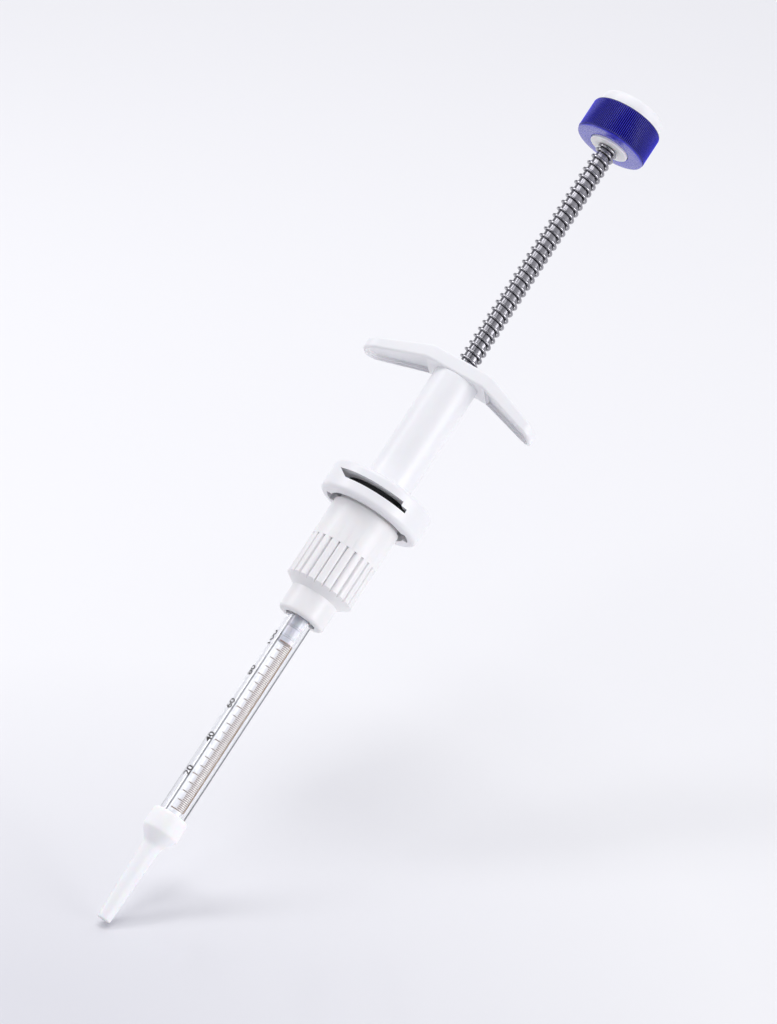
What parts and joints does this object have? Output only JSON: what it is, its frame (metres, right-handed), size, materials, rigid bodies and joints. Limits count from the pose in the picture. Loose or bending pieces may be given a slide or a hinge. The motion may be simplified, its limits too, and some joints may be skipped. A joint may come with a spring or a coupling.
{
  "type": "spring-return dispensing syringe",
  "caption": "Hand-held glass dispensing syringe with a spring-return plunger, gull-wing finger grip, bayonet collar, fluted thumb knob and push-on spout.",
  "frame": {"origin": "centre of the outlet at the lower end of the spout", "axes": "+Z along the barrel from the outlet towards the thumb cap; the wings of the finger grip lie along X; the front faces -Y"},
  "size_m": [0.0608, 0.0342, 0.3027],
  "materials": {
    "white_shell": "satin moulded white ABS",
    "collar_plastic": "satin moulded warm white acetal",
    "tip_polythene": "waxy white polythene",
    "barrel_glass": "clear borosilicate glass",
    "ptfe": "smooth translucent white PTFE",
    "black_rubber": "matte black rubber",
    "steel": "ground and polished stainless steel",
    "spring_steel": "bright drawn spring wire",
    "blue_knob": "ultramarine moulded plastic with fine flutes"
  },
  "bodies": {
    "handle": {"finger_grip": "white_shell", "handle_tube": "white_shell", "lock_ring": "white_shell", "lock_gasket": "black_rubber", "guide_bush": "ptfe", "seat_washer": "steel", "return_spring": "spring_steel"},
    "cartridge": {"collar_body": "collar_plastic", "glass_barrel": "barrel_glass", "barrel_bush": "ptfe", "barrel_gasket": "black_rubber", "dispensing_tip": "tip_polythene", "tip_seal": "ptfe"},
    "plunger": {"piston_rod": "steel", "piston_head": "ptfe", "piston_seals": "black_rubber"},
    "knob": {"push_rod": "steel", "rod_clip": "spring_steel", "swivel_nut": "steel", "knob_hub": "white_shell", "knob_ring": "blue_knob", "thumb_cap": "white_shell", "hub_screw": "steel"}
  },
  "joints": [
    {"name": "plunger_slide", "type": "slide", "parent": "handle", "child": "plunger", "axis": [0, 0, -1], "range_m": [0, 0.06], "stiffness_N_per_m": 450, "springref_m": -0.0067, "deforming": ["return_spring"]},
    {"name": "knob_turn", "type": "hinge", "parent": "plunger", "child": "knob", "pos_m": [0, 0, 0.2879], "axis": [0, 0, 1], "continuous": true},
    {"name": "collar_turn", "type": "hinge", "parent": "handle", "child": "cartridge", "pos_m": [0, 0, 0.1499], "axis": [0, 0, 1], "range_deg": [0, 90]}
  ]
}
